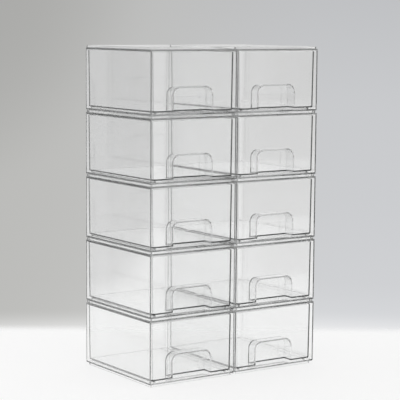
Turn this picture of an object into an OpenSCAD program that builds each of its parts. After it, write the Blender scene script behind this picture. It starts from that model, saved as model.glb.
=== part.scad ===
// Stack of clear drawer boxes: columns of boxes that stand on each other, side by side.
// Each box is a casing that is open at the front, and a drawer that slides out of it.
// A ring foot under each casing stands on the top panel of the casing below,
// inside the rim of that panel.
// X runs along the fronts and Y into the depth, the fronts face -Y, and Z is up.
// The origin is under the middle of the stack, on the surface that it stands on.

/* [Stack] */
// Number of columns side by side
columns = 2; // [1:1:2]
// Number of boxes in each column
rows = 5; // [1:1:6]
// Gap between two columns
column_gap = 0.8; // [0.4:0.2:20]

/* [Casing] */
// Outside width of a casing
box_w = 170; // [140:1:240]
// Outside depth of a casing
box_d = 206; // [150:1:320]
// Height that each box adds to a column
pitch = 110; // [80:1:180]
// Thickness of the side and back walls
wall_t = 2.5; // [2:0.1:4]
// Thickness of the top panel
top_t = 2.6; // [1.6:0.1:4]
// Thickness of the floor panel
floor_t = 2.6; // [1.6:0.1:4]
// Radius of the two long edges under the side walls
bottom_r = 2; // [1:0.1:4]
// Radius of the two upright edges at the back
back_r = 3; // [1:0.1:6]
// Radius inside the casing, along the floor and the top panel
inner_r = 1.2; // [0.6:0.1:3]

/* [Stacking foot and rim] */
// Height of the ring foot
foot_h = 4.2; // [3:0.1:8]
// Width of the ring foot's ridge
foot_w = 2.4; // [1.6:0.1:5]
// Distance from the casing's outside to the rim on its top panel
rim_inset = 1.5; // [0.5:0.1:4]
// Thickness of the rim
rim_w = 2; // [1.2:0.1:4]
// Clearance between the ring foot and the rim that it stands in
foot_clear = 0.5; // [0.3:0.1:2]
// Air left between the top of a rim and the floor of the casing above
seat_gap = 0.3; // [0.1:0.1:1]

/* [Runners] */
// Height of the two runners that the drawer slides on
runner_h = 2.3; // [1:0.1:5]
// Width of a runner
runner_w = 4; // [1.5:0.1:6]
// Distance from the casing's outside to a runner
runner_inset = 12; // [9:0.5:30]
// Distance from the front of the casing to the front ends of the runners
runner_setback = 8; // [3:0.5:30]

/* [Drawer] */
// Running clearance between the drawer and the runners
run_clear = 0.3; // [0.2:0.1:1]
// Clearance beside the top of the drawer, at each side
side_clear = 2.9; // [0.5:0.1:5]
// Clearance above the drawer
top_clear = 1.8; // [0.6:0.1:5]
// Clearance behind the closed drawer
back_clear = 1; // [0.5:0.1:5]
// Distance from the front of the casing to the front of the closed drawer
front_setback = 3; // [0:0.1:8]
// Amount by which each side leans in towards the bottom
side_draft = 1.5; // [0:0.1:3]
// Thickness of the drawer's side and back walls
drawer_t = 1.8; // [1.4:0.1:3]
// Thickness of the drawer's front
front_t = 2; // [1.4:0.1:4]
// Thickness of the drawer's floor
drawer_floor_t = 2; // [1.4:0.1:4]
// Radius of the drawer's long bottom edges, outside
drawer_r = 2.2; // [1:0.1:6]

/* [Finger pull] */
// Width of the recess inside
pull_w = 76; // [40:1:110]
// Height of the recess above the drawer's bottom edge
pull_h = 39; // [28:0.5:60]
// Depth of the recess behind the drawer's front face
pull_d = 19.5; // [12:0.5:40]
// Radius of the two upper corners of the recess
pull_r = 12.5; // [4:0.5:14]
// Thickness of the walls of the recess
pull_t = 1.8; // [1.4:0.1:4]
// Height of the front that hangs over the recess as a lip
lip_h = 14; // [6:0.5:20]

/* [Hidden] */
$fn = 64;
// Overlap that joins solids, and overrun of cuts
eps = 0.5;
COLUMN_NAMES = ["left", "right"];
function casing_name(column, row) = str(COLUMN_NAMES[column], "_casing_", row + 1);
function drawer_name(column, row) = str(COLUMN_NAMES[column], "_drawer_", row + 1);

clear_casing = [0.88, 0.91, 0.92, 0.35];
clear_drawer = [0.93, 0.95, 0.96, 0.35];

// Casing, with y measured from the middle and z from the bottom of the foot
front_y = -box_d / 2;
back_y = box_d / 2;
rim_h = foot_h - seat_gap;
floor_top = foot_h + floor_t;
foot_inset = rim_inset + rim_w + foot_clear;
run_top = floor_top + runner_h;

// Drawer
drawer_z = run_top + run_clear;
drawer_top = pitch - top_t - top_clear;
drawer_h = drawer_top - drawer_z;
drawer_w = box_w - 2 * (wall_t + side_clear);
drawer_y = front_y + front_setback;
drawer_back_y = back_y - wall_t - back_clear;
draft_angle = atan(side_draft / drawer_h);
inner_drawer_r = max(drawer_r - drawer_t, 1);
mouth_h = pull_h - lip_h;

// A flat square corner of side r with the round of radius r left standing.
// The corner is at point, and dir holds the signs of the directions into the shape.
module corner_cut(point, dir, r) {
    centre = [point.x + dir.x * r, point.y + dir.y * r];
    difference() {
        translate([point.x - (dir.x > 0 ? eps : r), point.y - (dir.y > 0 ? eps : r)])
            square(r + eps);
        translate(centre)
            circle(r);
    }
}

// A rectangle between two corners; radii go round from the lower left, counterclockwise
module rounded_rect(low, high, radii) {
    difference() {
        translate(low)
            square(high - low);
        if (radii[0] > 0)
            corner_cut(low, [1, 1], radii[0]);
        if (radii[1] > 0)
            corner_cut([high.x, low.y], [-1, 1], radii[1]);
        if (radii[2] > 0)
            corner_cut(high, [-1, -1], radii[2]);
        if (radii[3] > 0)
            corner_cut([low.x, high.y], [1, -1], radii[3]);
    }
}

// Extrudes an outline, drawn as X and Z, along Y
module along_y(from_y, to_y) {
    translate([0, to_y, 0])
        rotate([90, 0, 0])
            linear_extrude(to_y - from_y)
                children();
}

// Plan of the casing, drawn in by inset on every side
module casing_plan(inset) {
    r = max(back_r - inset, inner_r);
    rounded_rect(
        [-box_w / 2 + inset, front_y + inset],
        [box_w / 2 - inset, back_y - inset],
        [inset > 0 ? r : 0, inset > 0 ? r : 0, r, r]
    );
}

// The full block of the walls and the panels
module casing_block() {
    intersection() {
        along_y(front_y, back_y)
            rounded_rect(
                [-box_w / 2, foot_h],
                [box_w / 2, pitch],
                [bottom_r, bottom_r, 0, 0]
            );
        linear_extrude(pitch)
            casing_plan(0);
    }
}

// The space for the drawer, open at the front
module casing_cavity() {
    along_y(front_y - eps, back_y - wall_t)
        rounded_rect(
            [-box_w / 2 + wall_t, floor_top],
            [box_w / 2 - wall_t, pitch - top_t],
            [inner_r, inner_r, inner_r, inner_r]
        );
}

// A ridge that runs round the casing at one distance from its outside
module ring(inset, width, from_z, to_z) {
    translate([0, 0, from_z])
        linear_extrude(to_z - from_z)
            difference() {
                casing_plan(inset);
                casing_plan(inset + width);
            }
}

// One of the two runners on the floor
module runner(side) {
    low_x = side > 0 ? box_w / 2 - runner_inset - runner_w : -box_w / 2 + runner_inset;
    translate([low_x, front_y + runner_setback, floor_top - floor_t / 2])
        cube([runner_w, box_d - runner_setback - wall_t / 2, runner_h + floor_t / 2]);
}

module casing() {
    color(clear_casing)
        union() {
            difference() {
                casing_block();
                casing_cavity();
            }
            ring(rim_inset, rim_w, pitch - top_t / 2, pitch + rim_h);
            ring(foot_inset, foot_w, 0, foot_h + floor_t / 2);
            for (side = [-1, 1])
                runner(side);
        }
}

// Outline of the drawer across its width: upright at the top, drawn in towards the bottom.
// inset_x and inset_z draw the sides and the bottom in, and rise lifts the top edge.
module drawer_outline(inset_x, inset_z, r, rise) {
    low_z = drawer_z + inset_z;
    high_z = drawer_top + rise;
    function side_x(z) = drawer_w / 2 - inset_x - (drawer_top - z) * tan(draft_angle);
    centre_x = side_x(low_z + r) - r / cos(draft_angle);
    tangent = [centre_x + r * cos(draft_angle), low_z + r - r * sin(draft_angle)];
    polygon([
        [-centre_x, low_z],
        [centre_x, low_z],
        tangent,
        [side_x(high_z), high_z],
        [-side_x(high_z), high_z],
        [-tangent.x, tangent.y]
    ]);
    for (side = [-1, 1])
        translate([side * centre_x, low_z + r])
            circle(r);
}

// Outline of the finger recess, grown outwards by grow
module pull_outline(grow) {
    r = min(pull_r, pull_w / 2 - eps) + grow;
    rounded_rect(
        [-pull_w / 2 - grow, drawer_z - eps],
        [pull_w / 2 + grow, drawer_z + pull_h + grow],
        [0, 0, r, r]
    );
}

// The tray of the drawer with its walls
module drawer_tray() {
    difference() {
        along_y(drawer_y, drawer_back_y)
            drawer_outline(0, 0, drawer_r, 0);
        along_y(drawer_y + front_t, drawer_back_y - drawer_t)
            drawer_outline(drawer_t, drawer_floor_t, inner_drawer_r, eps);
    }
}

// The arched housing that closes the finger recess towards the inside of the drawer
module pull_housing() {
    intersection() {
        along_y(drawer_y + front_t / 2, drawer_y + pull_d + pull_t)
            pull_outline(pull_t);
        translate([-box_w / 2, front_y, drawer_z])
            cube([box_w, box_d, drawer_h]);
    }
}

// The room for the fingers behind the lip, open below
module pull_recess() {
    along_y(drawer_y + front_t, drawer_y + pull_d)
        pull_outline(0);
}

// The cut in the front under the lip
module pull_mouth() {
    translate([-pull_w / 2, drawer_y - eps, drawer_z - eps])
        cube([pull_w, front_t + 2 * eps, mouth_h + eps]);
}

module drawer() {
    color(clear_drawer)
        difference() {
            union() {
                drawer_tray();
                pull_housing();
            }
            pull_recess();
            pull_mouth();
        }
}

// Puts a piece in its column and row
module in_stack(column, row) {
    translate([(column - (columns - 1) / 2) * (box_w + column_gap), 0, row * pitch])
        children();
}

for (column = [0 : columns - 1], row = [0 : rows - 1]) {
    in_stack(column, row) casing();
    in_stack(column, row) drawer();
}
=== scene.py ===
"""Looks of ten clear drawer boxes that stand in two columns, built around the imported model.

Every casing and every drawer is one clear moulding. The shape of each of the two mouldings comes
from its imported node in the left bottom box, and gets the small edge rounds that a moulding has.
A node tree then sets it at its column and row, and the piece rides on the body of its own node.
Lengths are in metres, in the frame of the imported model.
"""

import logging
import math
from dataclasses import dataclass
from enum import Enum
from typing import Any

import bmesh
import bpy
from mathutils import Matrix, Vector


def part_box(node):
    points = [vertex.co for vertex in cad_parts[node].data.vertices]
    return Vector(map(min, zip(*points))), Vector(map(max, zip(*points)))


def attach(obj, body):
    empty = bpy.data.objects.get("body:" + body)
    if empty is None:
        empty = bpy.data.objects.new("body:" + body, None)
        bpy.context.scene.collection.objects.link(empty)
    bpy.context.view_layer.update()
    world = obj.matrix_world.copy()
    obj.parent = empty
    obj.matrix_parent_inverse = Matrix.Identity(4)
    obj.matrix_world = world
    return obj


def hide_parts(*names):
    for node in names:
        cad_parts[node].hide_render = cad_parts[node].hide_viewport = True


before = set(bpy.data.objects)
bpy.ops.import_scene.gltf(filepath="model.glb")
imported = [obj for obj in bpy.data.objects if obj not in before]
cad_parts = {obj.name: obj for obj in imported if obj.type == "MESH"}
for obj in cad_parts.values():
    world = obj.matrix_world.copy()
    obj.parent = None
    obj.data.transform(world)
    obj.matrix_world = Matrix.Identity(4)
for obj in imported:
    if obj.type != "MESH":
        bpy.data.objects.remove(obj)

logging.basicConfig(level=logging.INFO, format="%(message)s")
log = logging.getLogger("drawer_boxes")

MM = 0.001
Colour = tuple[float, float, float]


class Side(Enum):
    """The two columns. The value is the column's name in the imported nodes."""

    LEFT = "left"
    RIGHT = "right"


class Moulding(Enum):
    """The two mouldings of a box. The value is the name in the nodes."""

    CASING = "casing"
    DRAWER = "drawer"


def linear(grey: float) -> float:
    """Gives the linear value of a grey that a picture shows as 0 to 255."""
    share = grey / 255
    return share / 12.92 if share <= 0.04045 else ((share + 0.055) / 1.055) ** 2.4


def opaque(colour: Colour) -> tuple[float, float, float, float]:
    """Adds a full alpha to a colour."""
    return (*colour, 1.0)


def shade(grey: float) -> tuple[float, float, float, float]:
    """Gives the colour with a full alpha that a picture shows as a grey of 0 to 255."""
    return opaque((linear(grey),) * 3)


def compass(azimuth: float, elevation: float) -> Vector:
    """Gives a direction as a vector of length 1.

    Args:
        azimuth: Its azimuth, in degrees from +Y towards +X.
        elevation: Its elevation, in degrees.

    Returns:
        The direction.
    """
    turn, rise = math.radians(azimuth), math.radians(elevation)
    flat = math.cos(rise)
    return Vector((math.sin(turn) * flat, math.cos(turn) * flat, math.sin(rise)))


class Wiring:
    """Adds nodes to a node tree, with their settings, values and links in one call."""

    def __init__(self, tree: bpy.types.NodeTree) -> None:
        """Takes over a tree and empties it.

        Args:
            tree: The tree that the nodes go into.
        """
        self.tree = tree
        tree.nodes.clear()

    def feed(self, node: bpy.types.Node, name: str | int, value: Any) -> None:
        """Sets an input of a node to a value, or links it to the socket that feeds it.

        Args:
            node: The node.
            name: The input's name or number.
            value: The value or the socket.
        """
        if isinstance(value, bpy.types.NodeSocket):
            self.tree.links.new(value, node.inputs[name])
        else:
            node.inputs[name].default_value = value

    def add(
        self, kind: str, inputs: dict[Any, Any] | None = None, **settings: Any
    ) -> bpy.types.Node:
        """Adds one node.

        Args:
            kind: The node's type.
            inputs: For each input, by name or number, its value or the socket that feeds it.
            **settings: Properties of the node.

        Returns:
            The new node.
        """
        node = self.tree.nodes.new(kind)
        for name, value in settings.items():
            setattr(node, name, value)
        for name, value in (inputs or {}).items():
            self.feed(node, name, value)
        return node

    def maths(self, operation: str, *values: Any) -> bpy.types.NodeSocket:
        """Adds a Math node on up to three values or sockets and gives its result."""
        kind = "ShaderNodeMath"
        return self.add(kind, dict(enumerate(values)), operation=operation).outputs[0]

    def spread(self, value: Any, low: float, high: float) -> bpy.types.NodeSocket:
        """Adds a smooth step from 0 to 1.

        Args:
            value: Value or socket that the step depends on.
            low: Value at which it starts.
            high: Value at which it is full.

        Returns:
            The socket with the step.
        """
        node = self.add(
            "ShaderNodeMapRange",
            {"Value": value, "From Min": low, "From Max": high},
            interpolation_type="SMOOTHSTEP",
        )
        return node.outputs["Result"]

    def noise(
        self, place: Any, scale: Any, detail: float, distortion: float = 0.0
    ) -> bpy.types.NodeSocket:
        """Adds a Noise texture.

        Args:
            place: Socket with the coordinates.
            scale: Value or socket of the scale.
            detail: Number of octaves.
            distortion: Amount of distortion.

        Returns:
            The socket with the noise, about 0.5.
        """
        given = {"Vector": place, "Scale": scale, "Detail": detail, "Distortion": distortion}
        return self.add("ShaderNodeTexNoise", given).outputs["Fac"]

    def blend(self, factor: Any, first: Colour, second: Colour) -> bpy.types.NodeSocket:
        """Adds a mix of two colours.

        Args:
            factor: Value or socket with the share of the second colour.
            first: The first colour.
            second: The second colour.

        Returns:
            The socket with the mixed colour.
        """
        node = self.add("ShaderNodeMix", {"Factor": factor}, data_type="RGBA")
        colours = [socket for socket in node.inputs if socket.type == "RGBA"]
        colours[0].default_value = opaque(first)
        colours[1].default_value = opaque(second)
        return next(socket for socket in node.outputs if socket.type == "RGBA")


# ---------------------------------------------------------------- effects of the finishes


@dataclass(frozen=True)
class FlowWaves:
    """Node group: the faint waves that molten plastic leaves in a wall, and its orange peel.

    Attributes:
        name: Name of the node group.
        detail: Octaves of the waves.
        peel_detail: Octaves of the orange peel.
        peel_share: Height of the orange peel as a share of the waves' height.
    """

    name: str = "flow_waves"
    detail: float = 1.0
    peel_detail: float = 0.0
    peel_share: float = 0.04

    def build(self) -> bpy.types.NodeTree:
        """Makes the group.

        Returns:
            The group, with the inputs Vector, Wave Length and Peel Length and the output Height.
        """
        tree = bpy.data.node_groups.new(self.name, "ShaderNodeTree")
        face = tree.interface
        face.new_socket("Vector", in_out="INPUT", socket_type="NodeSocketVector")
        face.new_socket("Wave Length", in_out="INPUT", socket_type="NodeSocketFloat")
        face.new_socket("Peel Length", in_out="INPUT", socket_type="NodeSocketFloat")
        face.new_socket("Height", in_out="OUTPUT", socket_type="NodeSocketFloat")
        wire = Wiring(tree)
        given = wire.add("NodeGroupInput").outputs
        per_wave = wire.maths("DIVIDE", 1.0, given["Wave Length"])
        per_peel = wire.maths("DIVIDE", 1.0, given["Peel Length"])
        waves = wire.noise(given["Vector"], per_wave, self.detail)
        peel = wire.noise(given["Vector"], per_peel, self.peel_detail)
        wire.add(
            "NodeGroupOutput", {"Height": wire.maths("MULTIPLY_ADD", peel, self.peel_share, waves)}
        )
        return tree


@dataclass(frozen=True)
class HandlingMarks:
    """Node group: the haze that hands and dust leave in patches, and the short scuffs of use.

    Attributes:
        name: Name of the node group.
        patch_detail: Octaves of the patches.
        patch_curl: Distortion of their outlines.
        patch_from: Noise value at which a patch starts.
        patch_to: Noise value at which a patch is full.
        scuff_detail: Octaves of the scuffs.
        scuff_from: Noise value at which a scuff starts.
        scuff_to: Noise value at which a scuff is full.
        scuff_stretch: How many times longer than wide a scuff is.
    """

    name: str = "handling_marks"
    patch_detail: float = 4.0
    patch_curl: float = 0.4
    patch_from: float = 0.48
    patch_to: float = 0.72
    scuff_detail: float = 2.0
    scuff_from: float = 0.68
    scuff_to: float = 0.74
    scuff_stretch: float = 14.0

    def build(self) -> bpy.types.NodeTree:
        """Makes the group.

        Returns:
            The group, with the inputs Vector, Patch Length and Scuff Width and the outputs Haze
            and Scuffs.
        """
        tree = bpy.data.node_groups.new(self.name, "ShaderNodeTree")
        face = tree.interface
        face.new_socket("Vector", in_out="INPUT", socket_type="NodeSocketVector")
        face.new_socket("Patch Length", in_out="INPUT", socket_type="NodeSocketFloat")
        face.new_socket("Scuff Width", in_out="INPUT", socket_type="NodeSocketFloat")
        face.new_socket("Haze", in_out="OUTPUT", socket_type="NodeSocketFloat")
        face.new_socket("Scuffs", in_out="OUTPUT", socket_type="NodeSocketFloat")
        wire = Wiring(tree)
        given = wire.add("NodeGroupInput").outputs
        per_patch = wire.maths("DIVIDE", 1.0, given["Patch Length"])
        per_scuff = wire.maths("DIVIDE", 1.0, given["Scuff Width"])
        drawn_out = wire.add(
            "ShaderNodeVectorMath",
            {0: given["Vector"], 1: (1.0, 1.0 / self.scuff_stretch, 1.0)},
            operation="MULTIPLY",
        )
        patches = wire.noise(given["Vector"], per_patch, self.patch_detail, self.patch_curl)
        scratches = wire.noise(drawn_out.outputs[0], per_scuff, self.scuff_detail)
        haze = wire.spread(patches, self.patch_from, self.patch_to)
        scuffs = wire.spread(scratches, self.scuff_from, self.scuff_to)
        wire.add("NodeGroupOutput", {"Haze": haze, "Scuffs": wire.maths("MULTIPLY", scuffs, haze)})
        return tree


# ---------------------------------------------------------------- finishes


@dataclass(frozen=True)
class ClearPlastic:
    """A clear moulded plastic: bright through its walls and grey along them.

    Attributes:
        name: Name of the material.
        density: Density of the absorption in the plastic's depth, per metre.
        tint: Colour that a clean skin gives to light.
        dust_tint: Colour that a handled skin gives to light.
        ior: Refractive index.
        gloss: Roughness of a clean skin.
        haze: Roughness added where the skin was handled.
        scuff: Roughness added in a scuff.
        wave_height: Height of the flow waves.
        wave_length: Length of the flow waves.
        peel_length: Length of the orange peel.
        patch_length: Size of the patches of haze.
        scuff_width: Width of a scuff.
        kept: Colour that the absorption keeps in light on a long way through the plastic.
        shadow_tint: Share of the light that goes on into the shadow, at each skin.
    """

    name: str
    density: float
    tint: Colour = (0.999, 1.0, 1.0)
    dust_tint: Colour = (0.995, 0.996, 0.994)
    ior: float = 1.57
    gloss: float = 0.0
    haze: float = 0.012
    scuff: float = 0.03
    wave_height: float = 0.006 * MM
    wave_length: float = 45 * MM
    peel_length: float = 4 * MM
    patch_length: float = 38 * MM
    scuff_width: float = 0.5 * MM
    kept: Colour = (0.10, 0.115, 0.11)
    shadow_tint: Colour = (0.995, 0.996, 0.996)

    def build(self, waves: bpy.types.NodeTree, marks: bpy.types.NodeTree) -> bpy.types.Material:
        """Makes the material.

        Args:
            waves: Node group of the flow waves.
            marks: Node group of the handling marks.

        Returns:
            The finished material.
        """
        material = bpy.data.materials.new(self.name)
        material.use_nodes = True
        wire = Wiring(material.node_tree)
        place = wire.add("ShaderNodeTexCoord").outputs["Object"]
        wave = wire.add(
            "ShaderNodeGroup",
            {"Vector": place, "Wave Length": self.wave_length, "Peel Length": self.peel_length},
            node_tree=waves,
        )
        mark = wire.add(
            "ShaderNodeGroup",
            {"Vector": place, "Patch Length": self.patch_length, "Scuff Width": self.scuff_width},
            node_tree=marks,
        ).outputs
        bump = wire.add(
            "ShaderNodeBump", {"Height": wave.outputs["Height"], "Distance": self.wave_height}
        )
        hazed = wire.maths("MULTIPLY_ADD", mark["Haze"], self.haze, self.gloss)
        glass = wire.add(
            "ShaderNodeBsdfPrincipled",
            {
                "Base Color": wire.blend(mark["Haze"], self.tint, self.dust_tint),
                "Metallic": 0.0,
                "Roughness": wire.maths("MULTIPLY_ADD", mark["Scuffs"], self.scuff, hazed),
                "IOR": self.ior,
                "Transmission Weight": 1.0,
                "Normal": bump.outputs["Normal"],
            },
        )
        through = wire.add("ShaderNodeBsdfTransparent", {"Color": opaque(self.shadow_tint)})
        path = wire.add("ShaderNodeLightPath").outputs
        mix = wire.add(
            "ShaderNodeMixShader",
            {0: path["Is Shadow Ray"], 1: glass.outputs["BSDF"], 2: through.outputs["BSDF"]},
        )
        depth = wire.add(
            "ShaderNodeVolumeAbsorption", {"Color": opaque(self.kept), "Density": self.density}
        )
        wire.add(
            "ShaderNodeOutputMaterial",
            {"Surface": mix.outputs["Shader"], "Volume": depth.outputs["Volume"]},
        )
        return material


@dataclass(frozen=True)
class PaleBoard:
    """The pale matt board under the boxes. It fades out into the surroundings.

    Attributes:
        wall_azimuth: Direction in which the backdrop lies, in degrees from +Y towards +X.
        name: Name of the material.
        colour: Colour of the board.
        mottle: Share by which the colour varies.
        mottle_scale: Patches of that mottle in a metre.
        mottle_detail: Octaves of the mottle.
        shown_grey: Grey that eye and glass see where nothing shades the board, from 0 to 255.
        shown_share: Share of that grey that stays where the boxes shade it.
        roughness: Roughness of the board.
        solid_r: Radius within which the board is whole.
        gone_r: Radius at which the board has faded out.
        wall_gap: Distance from the middle to the line where the backdrop rises.
        wall_blur: Width of the soft line there.
    """

    wall_azimuth: float
    name: str = "pale_board"
    colour: Colour = (0.93, 0.93, 0.925)
    mottle: float = 0.01
    mottle_scale: float = 9.0
    mottle_detail: float = 3.0
    shown_grey: float = 255.0
    shown_share: float = 0.7
    roughness: float = 0.7
    solid_r: float = 0.45
    gone_r: float = 1.15
    wall_gap: float = 0.255
    wall_blur: float = 0.075

    def build(self) -> bpy.types.Material:
        """Makes the material.

        Returns:
            The finished material.
        """
        material = bpy.data.materials.new(self.name)
        material.use_nodes = True
        wire = Wiring(material.node_tree)
        place = wire.add("ShaderNodeTexCoord").outputs["Object"]
        darker = tuple(part * (1 - self.mottle) for part in self.colour)
        mottled = wire.noise(place, self.mottle_scale, self.mottle_detail)
        board = wire.add(
            "ShaderNodeBsdfPrincipled",
            {
                "Base Color": wire.blend(mottled, self.colour, darker),
                "Roughness": self.roughness,
            },
        )
        radius = wire.add(
            "ShaderNodeVectorMath", {0: place}, operation="LENGTH"
        ).outputs["Value"]
        reach = wire.add(
            "ShaderNodeVectorMath",
            {0: place, 1: compass(self.wall_azimuth, 0)},
            operation="DOT_PRODUCT",
        ).outputs["Value"]
        faded = wire.spread(radius, self.solid_r, self.gone_r)
        cut = wire.spread(reach, self.wall_gap, self.wall_gap + self.wall_blur)
        path = wire.add("ShaderNodeLightPath").outputs
        shiny = wire.maths("MAXIMUM", path["Is Glossy Ray"], path["Is Transmission Ray"])
        seen = wire.maths("MAXIMUM", path["Is Camera Ray"], shiny)
        shown = wire.add("ShaderNodeEmission", {"Color": shade(self.shown_grey)})
        lit = wire.add(
            "ShaderNodeMixShader",
            {
                0: wire.maths("MULTIPLY", seen, self.shown_share),
                1: board.outputs["BSDF"],
                2: shown.outputs["Emission"],
            },
        )
        clear = wire.add("ShaderNodeBsdfTransparent")
        mix = wire.add(
            "ShaderNodeMixShader",
            {
                0: wire.maths("MAXIMUM", faded, cut),
                1: lit.outputs["Shader"],
                2: clear.outputs["BSDF"],
            },
        )
        wire.add("ShaderNodeOutputMaterial", {"Surface": mix.outputs["Shader"]})
        return material


# ---------------------------------------------------------------- boxes


@dataclass(frozen=True)
class StackPlaces:
    """Node tree that sets a moulding at its column and row in the stack.

    Attributes:
        name: Name of the node tree.
    """

    name: str = "stack_places"

    def build(self) -> bpy.types.NodeTree:
        """Makes the tree.

        Returns:
            The tree. The moulding comes in as geometry, its place as named numbers.
        """
        tree = bpy.data.node_groups.new(self.name, "GeometryNodeTree")
        face = tree.interface
        face.new_socket("Moulding", in_out="INPUT", socket_type="NodeSocketGeometry")
        for number in ("Column", "Row"):
            face.new_socket(number, in_out="INPUT", socket_type="NodeSocketInt")
        for length in ("First Column X", "Column Pitch", "Row Pitch"):
            face.new_socket(length, in_out="INPUT", socket_type="NodeSocketFloat")
        face.new_socket("Finish", in_out="INPUT", socket_type="NodeSocketMaterial")
        face.new_socket("Placed", in_out="OUTPUT", socket_type="NodeSocketGeometry")
        wire = Wiring(tree)
        given = wire.add("NodeGroupInput").outputs
        place = wire.add(
            "ShaderNodeCombineXYZ",
            {
                "X": wire.maths(
                    "MULTIPLY_ADD", given["Column"], given["Column Pitch"], given["First Column X"]
                ),
                "Z": wire.maths("MULTIPLY", given["Row"], given["Row Pitch"]),
            },
        ).outputs["Vector"]
        point = wire.add("GeometryNodePoints", {"Count": 1, "Position": place}).outputs[0]
        placed = wire.add(
            "GeometryNodeInstanceOnPoints", {"Points": point, "Instance": given["Moulding"]}
        ).outputs["Instances"]
        real = wire.add("GeometryNodeRealizeInstances", {"Geometry": placed}).outputs["Geometry"]
        dressed = wire.add(
            "GeometryNodeSetMaterial", {"Geometry": real, "Material": given["Finish"]}
        )
        wire.add("NodeGroupOutput", {"Placed": dressed.outputs["Geometry"]})
        return tree


@dataclass
class StackedMoulding:
    """All the casings, or all the drawers, of the stack.

    Attributes:
        kind: Which of the two mouldings this is.
        material: Its finish.
        edge_r: Radius of the small rounds on its edges.
        rows: Number of boxes in a column.
        edge_steps: Facets across such a round.
        edge_turn: Edges that turn by more than this get the round, in degrees.
        flat_turn: Faces that differ by less than this are one flat face, in degrees.
        weld: Points closer than this are one point.
    """

    kind: Moulding
    material: bpy.types.Material
    edge_r: float
    rows: int = 5
    edge_steps: int = 3
    edge_turn: float = 30.0
    flat_turn: float = 0.2
    weld: float = 0.002 * MM

    def node(self, side: Side, row: int) -> str:
        """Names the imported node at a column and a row, counted from 1 at the bottom."""
        return f"{side.value}_{self.kind.value}_{row}"

    def body(self, side: Side, row: int) -> str:
        """Names the body that carries a node. One body holds both bottom casings.

        Args:
            side: The node's column.
            row: Its row, counted from 1 at the bottom.

        Returns:
            The body's name.
        """
        if self.kind is Moulding.CASING and row == 1:
            return "bottom_casings"
        return self.node(side, row)

    def middle_x(self, side: Side) -> float:
        """Gives the middle of a column."""
        low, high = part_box(self.node(side, 1))
        return (low.x + high.x) / 2

    def row_pitch(self) -> float:
        """Gives the height that each box adds to a column."""
        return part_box(self.node(Side.LEFT, 2))[0].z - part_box(self.node(Side.LEFT, 1))[0].z

    def pattern(self) -> bpy.types.Mesh:
        """Makes the moulding's mesh about its column's middle, with whole flat faces.

        Returns:
            The mesh, at the height of the bottom row.
        """
        work = bmesh.new()
        work.from_mesh(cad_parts[self.node(Side.LEFT, 1)].data)
        bmesh.ops.remove_doubles(work, verts=work.verts, dist=self.weld)
        bmesh.ops.dissolve_limit(
            work, angle_limit=math.radians(self.flat_turn), verts=work.verts, edges=work.edges
        )
        bmesh.ops.translate(work, verts=work.verts, vec=(-self.middle_x(Side.LEFT), 0, 0))
        for face in work.faces:
            face.smooth = True
        mesh = bpy.data.meshes.new(f"{self.kind.value}_pattern")
        work.to_mesh(mesh)
        work.free()
        return mesh

    def place(
        self, pattern: bpy.types.Mesh, places: bpy.types.NodeTree, side: Side, row: int
    ) -> bpy.types.Object:
        """Makes one moulding at its column and row, with rounded edges, as a plain mesh.

        Args:
            pattern: The moulding's mesh about its column's middle.
            places: Node tree that sets it in the stack.
            side: Its column.
            row: Its row, counted from 1 at the bottom.

        Returns:
            The finished object.
        """
        piece = bpy.data.objects.new(f"{self.node(side, row)}_moulding", pattern)
        bpy.context.scene.collection.objects.link(piece)
        placing = piece.modifiers.new("places", "NODES")
        placing.node_group = places
        first_x = self.middle_x(Side.LEFT)
        values = {
            "Column": list(Side).index(side),
            "Row": row - 1,
            "First Column X": first_x,
            "Column Pitch": self.middle_x(Side.RIGHT) - first_x,
            "Row Pitch": self.row_pitch(),
            "Finish": self.material,
        }
        for item in places.interface.items_tree:
            if item.in_out == "INPUT" and item.name in values:
                placing[item.identifier] = values[item.name]
        rounds = piece.modifiers.new("edge_rounds", "BEVEL")
        rounds.width = self.edge_r
        rounds.segments = self.edge_steps
        rounds.limit_method = "ANGLE"
        rounds.angle_limit = math.radians(self.edge_turn)
        rounds.use_clamp_overlap = False
        piece.modifiers.new("flat_faces", "WEIGHTED_NORMAL")
        graph = bpy.context.evaluated_depsgraph_get()
        finished = bpy.data.meshes.new_from_object(piece.evaluated_get(graph))
        piece.modifiers.clear()
        piece.data = finished
        return piece

    def build(self, places: bpy.types.NodeTree) -> None:
        """Builds, dresses and reports every one of these mouldings.

        Args:
            places: Node tree that sets a moulding in the stack.
        """
        pattern = self.pattern()
        for side in Side:
            for row in range(1, self.rows + 1):
                piece = self.place(pattern, places, side, row)
                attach(piece, self.body(side, row))
                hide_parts(self.node(side, row))
                log.info("%s rides on %s", piece.name, self.body(side, row))


# ---------------------------------------------------------------- studio


@dataclass(frozen=True)
class Glow:
    """A soft bright or dark part of the surroundings.

    Attributes:
        azimuth: Its direction, in degrees from +Y towards +X.
        elevation: Its height over the horizon, in degrees.
        inner: Angle from that direction within which it is full, in degrees.
        outer: Angle at which it has ended, in degrees.
        grey: Its grey, as a picture shows it, from 0 to 255.
    """

    azimuth: float
    elevation: float
    inner: float
    outer: float
    grey: float


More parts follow.
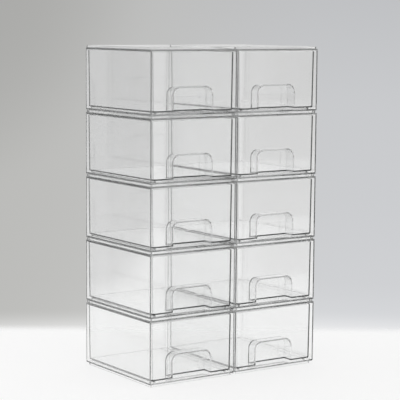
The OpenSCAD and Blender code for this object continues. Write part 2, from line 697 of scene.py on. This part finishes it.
@dataclass
class Studio:
    """The board, the surroundings, the lamp and the camera.

    Attributes:
        photo_side: Width and height of the photograph, in pixels.
        focal_px: Focal length in those pixels.
        sensor_width: Width of the camera's sensor, in millimetres.
        camera_reach: Distance to which the camera sees.
        camera_place: Place of the camera.
        camera_azimuth: Direction in which the camera looks, in degrees from +Y towards +X.
        camera_drop: Angle by which it looks down, in degrees.
        camera_roll: Angle by which it is turned, in degrees.
        board_r: Radius of the board.
        board_sides: Sides of its round outline.
        plain_level: Strength of the light that the surroundings give to matt surfaces.
        wall: Elevations in degrees, each with the grey that the eye sees there, from 0 to 255.
        wall_glows: Soft bright or dark parts of that wall.
        left_tone: Colour that the wall's greys are multiplied by at the left.
        right_tone: Colour that they are multiplied by at the right.
        tone_reach: Sine of the angle, left and right of the middle, at which a tone is full.
        floor_line: Elevations between which the wall goes over into the floor, in degrees.
        floor_grey: Grey of the floor beyond the board.
        tent: Greys at elevations, as for the wall, that the plastic mirrors and lets through.
        tent_glows: Soft bright or dark parts of that tent.
        flags: Light grey parts at the sides, which keep outlines clear in views from there.
        lamp_place: Place of the lamp.
        lamp_aim: Point that the lamp shines at.
        lamp_side: Width and height of the lamp.
        lamp_power: Power of the lamp, in watts.
        path_bounces: Times that light is followed inside the mouldings.
    """

    photo_side: int = 400
    focal_px: float = 1504.5
    sensor_width: float = 36.0
    camera_reach: float = 50.0
    camera_place: Vector = Vector((-1.4705, -2.1247, 0.5975))
    camera_azimuth: float = 34.65
    camera_drop: float = 6.82
    camera_roll: float = 0.40
    board_r: float = 1.2
    board_sides: int = 96
    plain_level: float = 0.85
    wall: tuple[tuple[float, float], ...] = (
        (-11.5, 216.0), (-10.0, 208.0), (-7.0, 204.0),
        (-3.0, 201.0), (1.0, 192.0), (17.0, 215.0),
    )
    wall_glows: tuple[Glow, ...] = (
        Glow(8.0, -5.0, 16.0, 32.0, 188.0),
        Glow(23.0, 3.0, 4.0, 10.5, 172.0),
    )
    left_tone: Colour = (0.99, 0.99, 0.965)
    right_tone: Colour = (0.995, 1.01, 1.04)
    tone_reach: float = 0.12
    floor_line: tuple[float, float] = (-12.5, -10.9)
    floor_grey: float = 252.0
    tent: tuple[tuple[float, float], ...] = (
        (-30.0, 255.0), (-13.5, 255.0), (-10.5, 244.0), (-6.0, 225.0),
        (-1.0, 212.0), (0.0, 200.0), (2.0, 200.0), (4.0, 238.0),
        (8.0, 253.0), (21.0, 253.0), (29.0, 110.0),
    )
    tent_glows: tuple[Glow, ...] = (
        Glow(145.0, 0.0, 20.0, 45.0, 255.0),
        Glow(-25.5, -5.0, 7.3, 8.6, 174.0),
        Glow(-45.5, -5.5, 8.0, 10.0, 180.0),
    )
    flags: tuple[Glow, ...] = (
        Glow(-65.0, -1.0, 7.0, 16.0, 170.0),
        Glow(65.0, -1.0, 7.0, 16.0, 170.0),
        Glow(-114.0, -1.0, 7.0, 16.0, 170.0),
        Glow(114.0, -1.0, 7.0, 16.0, 170.0),
    )
    lamp_place: Vector = Vector((-1.6, 0.8, 2.2))
    lamp_aim: Vector = Vector((0.0, 0.0, 0.25))
    lamp_side: float = 1.5
    lamp_power: float = 12.0
    path_bounces: int = 128

    def camera(self) -> None:
        """Sets up the camera at the photograph's place."""
        data = bpy.data.cameras.new("camera")
        data.sensor_width = self.sensor_width
        data.lens = self.focal_px / self.photo_side * self.sensor_width
        data.clip_end = self.camera_reach
        camera = bpy.data.objects.new("camera", data)
        camera.matrix_world = (
            Matrix.Translation(self.camera_place)
            @ Matrix.Rotation(-math.radians(self.camera_azimuth), 4, "Z")
            @ Matrix.Rotation(math.radians(90 - self.camera_drop), 4, "X")
            @ Matrix.Rotation(math.radians(self.camera_roll), 4, "Z")
        )
        bpy.context.scene.collection.objects.link(camera)
        bpy.context.scene.camera = camera

    def surroundings(self) -> None:
        """Sets up a plain light for matt surfaces, and a soft studio that glass and eye see."""
        world = bpy.data.worlds.new("surroundings")
        bpy.context.scene.world = world
        world.use_nodes = True
        wire = Wiring(world.node_tree)
        way = wire.add("ShaderNodeTexCoord").outputs["Generated"]
        height = wire.add("ShaderNodeSeparateXYZ", {"Vector": way}).outputs["Z"]
        wall = self.greys(wire, way, height, self.wall, self.wall_glows + self.flags)
        across = wire.add(
            "ShaderNodeVectorMath",
            {0: way, 1: compass(self.camera_azimuth + 90, 0)},
            operation="DOT_PRODUCT",
        ).outputs["Value"]
        toned = wire.blend(
            wire.spread(across, -self.tone_reach, self.tone_reach), self.left_tone, self.right_tone
        )
        wall = wire.add(
            "ShaderNodeMixRGB", {"Fac": 1.0, "Color1": wall, "Color2": toned}, blend_type="MULTIPLY"
        ).outputs["Color"]
        low, high = (math.sin(math.radians(line)) for line in self.floor_line)
        wall = wire.add(
            "ShaderNodeMixRGB",
            {
                "Fac": wire.spread(height, low, high),
                "Color1": shade(self.floor_grey),
                "Color2": wall,
            },
        ).outputs["Color"]
        tent = self.greys(wire, way, height, self.tent, self.tent_glows + self.flags)
        plain = wire.add(
            "ShaderNodeBackground", {"Color": shade(255.0), "Strength": self.plain_level}
        )
        path = wire.add("ShaderNodeLightPath").outputs
        around = wire.add("ShaderNodeBackground", {"Color": tent, "Strength": 1.0})
        behind = wire.add("ShaderNodeBackground", {"Color": wall, "Strength": 1.0})
        shiny = wire.maths("MAXIMUM", path["Is Glossy Ray"], path["Is Transmission Ray"])
        mirrored = wire.add(
            "ShaderNodeMixShader",
            {0: shiny, 1: plain.outputs["Background"], 2: around.outputs["Background"]},
        )
        mix = wire.add(
            "ShaderNodeMixShader",
            {
                0: path["Is Camera Ray"],
                1: mirrored.outputs["Shader"],
                2: behind.outputs["Background"],
            },
        )
        wire.add("ShaderNodeOutputWorld", {"Surface": mix.outputs["Shader"]})

    def greys(
        self,
        wire: Wiring,
        way: Any,
        height: Any,
        steps: tuple[tuple[float, float], ...],
        glows: tuple[Glow, ...],
    ) -> bpy.types.NodeSocket:
        """Adds greys that change with the elevation of a direction, and the glows over them.

        Args:
            wire: Wiring of the surroundings.
            way: Socket with the direction.
            height: Socket with the sine of its elevation.
            steps: Elevations in degrees, each with its grey from 0 to 255.
            glows: Soft bright or dark parts.

        Returns:
            The socket with the colour.
        """
        # A sine of -1 to 1 is a place of 0 to 1 on the ramp.
        place = wire.maths("MULTIPLY_ADD", height, 0.5, 0.5)
        ramp = wire.add("ShaderNodeValToRGB", {"Fac": place})
        stops = ramp.color_ramp.elements
        ready = len(stops)
        for number, (elevation, grey) in enumerate(steps):
            position = 0.5 + math.sin(math.radians(elevation)) / 2
            stop = stops[number] if number < ready else stops.new(position)
            stop.position = position
            stop.color = shade(grey)
        colour = ramp.outputs["Color"]
        for glow in glows:
            towards = wire.add(
                "ShaderNodeVectorMath",
                {0: way, 1: compass(glow.azimuth, glow.elevation)},
                operation="DOT_PRODUCT",
            ).outputs["Value"]
            far, near = (math.cos(math.radians(angle)) for angle in (glow.outer, glow.inner))
            colour = wire.add(
                "ShaderNodeMixRGB",
                {
                    "Fac": wire.spread(towards, far, near),
                    "Color1": colour,
                    "Color2": shade(glow.grey),
                },
            ).outputs["Color"]
        return colour

    def board(self) -> None:
        """Builds the round board under the boxes."""
        work = bmesh.new()
        bmesh.ops.create_circle(
            work, cap_ends=True, segments=self.board_sides, radius=self.board_r
        )
        mesh = bpy.data.meshes.new("board")
        work.to_mesh(mesh)
        work.free()
        mesh.materials.append(PaleBoard(self.camera_azimuth).build())
        board = bpy.data.objects.new("board", mesh)
        bpy.context.scene.collection.objects.link(board)

    def lamp(self) -> None:
        """Hangs one large soft lamp."""
        data = bpy.data.lights.new("lamp", "AREA")
        data.size = self.lamp_side
        data.energy = self.lamp_power
        lamp = bpy.data.objects.new("lamp", data)
        aim = (self.lamp_aim - self.lamp_place).to_track_quat("-Z", "Y")
        lamp.matrix_world = Matrix.Translation(self.lamp_place) @ aim.to_matrix().to_4x4()
        bpy.context.scene.collection.objects.link(lamp)

    def settings(self) -> None:
        """Keeps colours as written, and follows light that runs along inside a wall."""
        scene = bpy.context.scene
        scene.view_settings.view_transform = "Standard"
        scene.cycles.max_bounces = self.path_bounces
        scene.cycles.glossy_bounces = self.path_bounces
        scene.cycles.transmission_bounces = self.path_bounces
        scene.cycles.transparent_max_bounces = self.path_bounces

    def build(self) -> None:
        """Sets up the whole studio."""
        self.camera()
        self.surroundings()
        self.board()
        self.lamp()
        self.settings()


def main() -> None:
    """Builds the casings, the drawers and the studio in order."""
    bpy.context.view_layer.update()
    waves = FlowWaves().build()
    marks = HandlingMarks().build()
    places = StackPlaces().build()
    casing_finish = ClearPlastic("clear_casing", density=4.5).build(waves, marks)
    drawer_finish = ClearPlastic("clear_drawer", density=13.0).build(waves, marks)
    StackedMoulding(Moulding.CASING, casing_finish, edge_r=0.45 * MM).build(places)
    StackedMoulding(Moulding.DRAWER, drawer_finish, edge_r=0.8 * MM).build(places)
    Studio().build()


if __name__ == "__main__":
    main()
